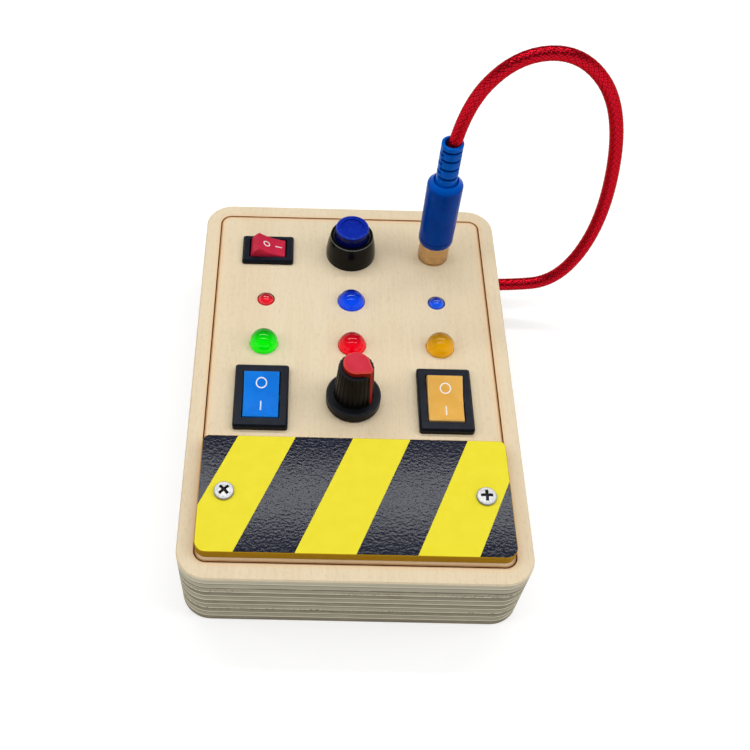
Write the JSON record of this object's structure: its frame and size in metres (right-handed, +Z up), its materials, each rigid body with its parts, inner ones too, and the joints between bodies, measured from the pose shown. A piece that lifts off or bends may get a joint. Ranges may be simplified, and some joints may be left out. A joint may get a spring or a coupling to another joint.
{
  "type": "busy board",
  "caption": "Small wooden box with rocker switches, a push button, a turning knob, coloured lamps, a striped battery cover and a plug on a looped cord, for a child to work by hand.",
  "frame": {"origin": "centre of the underside of the wooden box", "axes": "+Z up out of the control panel, +Y away from the user along the box's length, +X to the user's right"},
  "size_m": [0.12, 0.1292, 0.0992],
  "materials": {
    "birch_ply": "satin",
    "yellow_cover": "gloss",
    "screw_steel": "polished",
    "black_gloss": "gloss",
    "black_matte": "matte",
    "red_paddle": "gloss",
    "blue_paddle": "gloss",
    "amber_paddle": "gloss",
    "blue_cap": "gloss",
    "white_plastic": "satin",
    "pointer_red": "satin",
    "lamp_red": "gloss",
    "lamp_blue": "gloss",
    "lamp_green": "gloss",
    "lamp_yellow": "gloss",
    "contact_brass": "satin",
    "skirt_brass": "polished",
    "plated_steel": "satin",
    "phenolic": "matte",
    "cell_jacket": "satin",
    "plug_blue": "satin",
    "red_braid": "woven"
  },
  "bodies": {
    "box": {"base_plate": "birch_ply", "body_frame": "birch_ply", "top_rim": "birch_ply", "control_panel": "birch_ply", "battery_cover": "yellow_cover", "cover_screws": "screw_steel", "battery_tray": "black_gloss", "battery_cells": "cell_jacket", "battery_contacts": "plated_steel", "battery_springs": "plated_steel", "lamp_leads": "plated_steel", "cord": "red_braid", "cord_tie": "black_matte", "mini_rocker_housing": "black_gloss", "mini_rocker_terminals": "contact_brass", "blue_rocker_housing": "black_gloss", "blue_rocker_terminals": "contact_brass", "yellow_rocker_housing": "black_gloss", "yellow_rocker_terminals": "contact_brass", "button_collar": "black_gloss", "button_spring": "plated_steel", "button_base": "black_matte", "button_terminals": "contact_brass", "button_washer": "plated_steel", "button_nut": "plated_steel", "pot_bushing": "plated_steel", "pot_wafer": "phenolic", "pot_lugs": "plated_steel", "pot_can": "plated_steel", "pot_washer": "plated_steel", "pot_nut": "plated_steel", "jack_barrel": "skirt_brass", "jack_insulator": "black_matte", "jack_contact": "contact_brass", "jack_lug": "plated_steel", "jack_nut": "plated_steel", "small_red_lamp": "lamp_red", "large_blue_lamp": "lamp_blue", "small_blue_lamp": "lamp_blue", "large_green_lamp": "lamp_green", "large_red_lamp": "lamp_red", "large_yellow_lamp": "lamp_yellow"},
    "mini_rocker_paddle": {"mini_rocker_paddle": "red_paddle"},
    "mini_rocker_blade": {"mini_rocker_blade": "contact_brass"},
    "blue_rocker_paddle": {"blue_rocker_paddle": "blue_paddle"},
    "blue_rocker_blade": {"blue_rocker_blade": "contact_brass"},
    "yellow_rocker_paddle": {"yellow_rocker_paddle": "amber_paddle"},
    "yellow_rocker_blade": {"yellow_rocker_blade": "contact_brass"},
    "button": {"button_cap": "blue_cap", "button_stem": "white_plastic", "button_contact": "contact_brass"},
    "knob": {"knob": "black_matte", "knob_pointer": "pointer_red", "pot_shaft": "plated_steel", "pot_wiper": "phenolic"},
    "plug": {"plug_skirt": "skirt_brass", "plug_insulator": "white_plastic", "plug_pin": "contact_brass", "plug_shell": "plug_blue"}
  },
  "joints": [
    {"name": "mini_rocker_tilt", "type": "hinge", "parent": "box", "child": "mini_rocker_paddle", "pos_m": [-0.0254, 0.0451, 0.0249], "axis": [0, -1, 0], "range_deg": [0, 44]},
    {"name": "mini_rocker_contact", "type": "hinge", "parent": "box", "child": "mini_rocker_blade", "pos_m": [-0.0254, 0.0451, 0.016], "axis": [0, 1, 0], "range_deg": [0, 22]},
    {"name": "blue_rocker_tilt", "type": "hinge", "parent": "box", "child": "blue_rocker_paddle", "pos_m": [-0.0254, -0.01022, 0.025], "axis": [-1, 0, 0], "range_deg": [0, 20]},
    {"name": "blue_rocker_contact", "type": "hinge", "parent": "box", "child": "blue_rocker_blade", "pos_m": [-0.0254, -0.01022, 0.016], "axis": [1, 0, 0], "range_deg": [0, 10]},
    {"name": "yellow_rocker_tilt", "type": "hinge", "parent": "box", "child": "yellow_rocker_paddle", "pos_m": [0.0254, -0.01022, 0.025], "axis": [-1, 0, 0], "range_deg": [0, 20]},
    {"name": "yellow_rocker_contact", "type": "hinge", "parent": "box", "child": "yellow_rocker_blade", "pos_m": [0.0254, -0.01022, 0.016], "axis": [1, 0, 0], "range_deg": [0, 10]},
    {"name": "button_press", "type": "slide", "parent": "box", "child": "button", "axis": [0, 0, -1], "range_m": [0, 0.0025], "stiffness_N_per_m": 400, "springref_m": -0.002, "deforming": ["button_spring"]},
    {"name": "knob_turn", "type": "hinge", "parent": "box", "child": "knob", "pos_m": [0, -0.01022, 0.025], "axis": [0, 0, 1], "range_deg": [-25, 275]},
    {"name": "plug_pull", "type": "slide", "parent": "box", "child": "plug", "axis": [0, 0, 1], "range_m": [0, 0.016], "deforming": ["cord"]}
  ],
  "couplings": [
    {"joint": "mini_rocker_contact", "follows": "mini_rocker_tilt", "ratio": 0.5},
    {"joint": "blue_rocker_contact", "follows": "blue_rocker_tilt", "ratio": 0.5},
    {"joint": "yellow_rocker_contact", "follows": "yellow_rocker_tilt", "ratio": 0.5}
  ]
}
